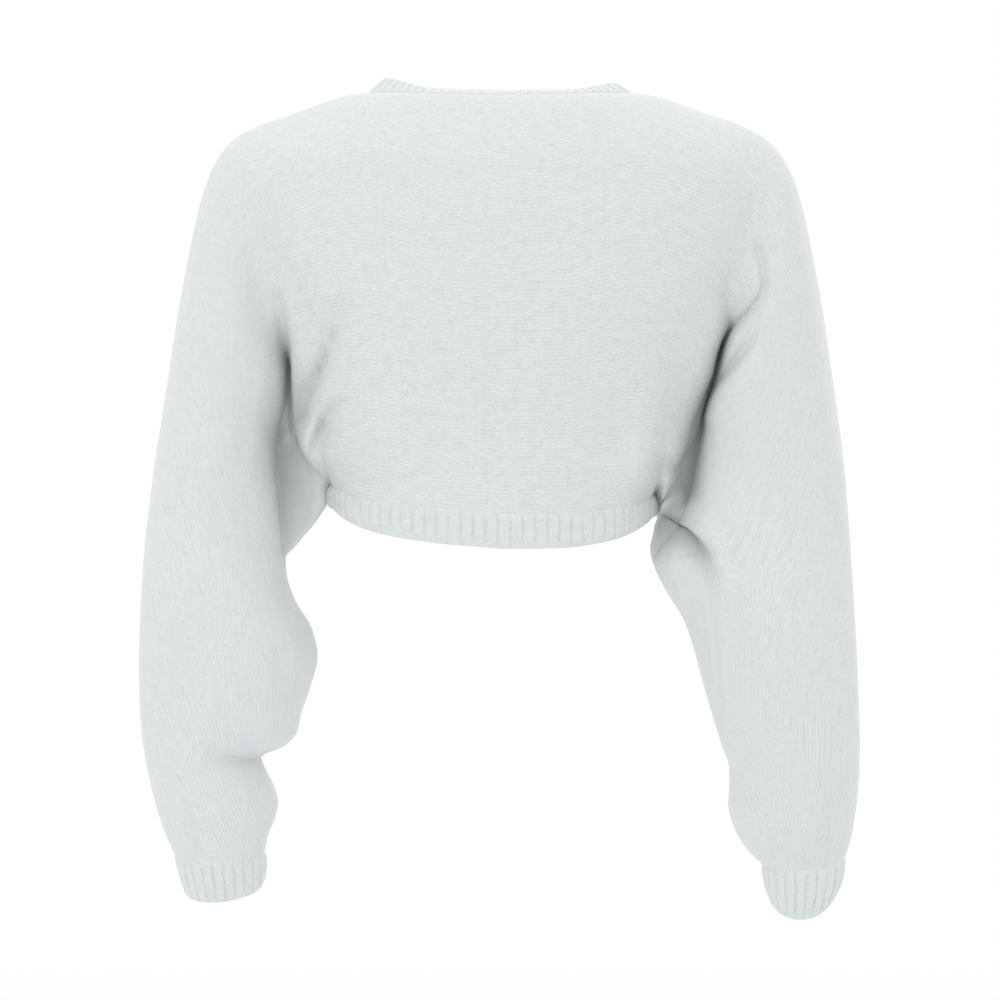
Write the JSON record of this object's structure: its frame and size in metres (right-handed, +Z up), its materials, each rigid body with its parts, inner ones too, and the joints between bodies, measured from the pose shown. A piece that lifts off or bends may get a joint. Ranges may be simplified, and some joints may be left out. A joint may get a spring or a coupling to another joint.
{
  "type": "cardigan",
  "caption": "Cropped knitted cardigan with batwing sleeves, open V-neck front, and ribbed neckband, hem and cuffs, filled out as worn.",
  "frame": {"origin": "midway between the shoulders at the height of the neck seam, where the wearer carries it", "axes": "+Z up, -Y the garment's front, +X the wearer's left"},
  "size_m": [0.5776, 0.225, 0.671],
  "materials": {
    "jersey": "fine melange knit, pale cool grey",
    "rib": "ribbed melange knit, pale cool grey"
  },
  "bodies": {
    "root": {"back": "jersey", "front_left": "jersey", "front_right": "jersey", "hem_back": "rib", "hem_front_left": "rib", "hem_front_right": "rib", "neck_band": "rib", "cuff_left": "rib", "cuff_right": "rib"}
  },
  "joints": []
}
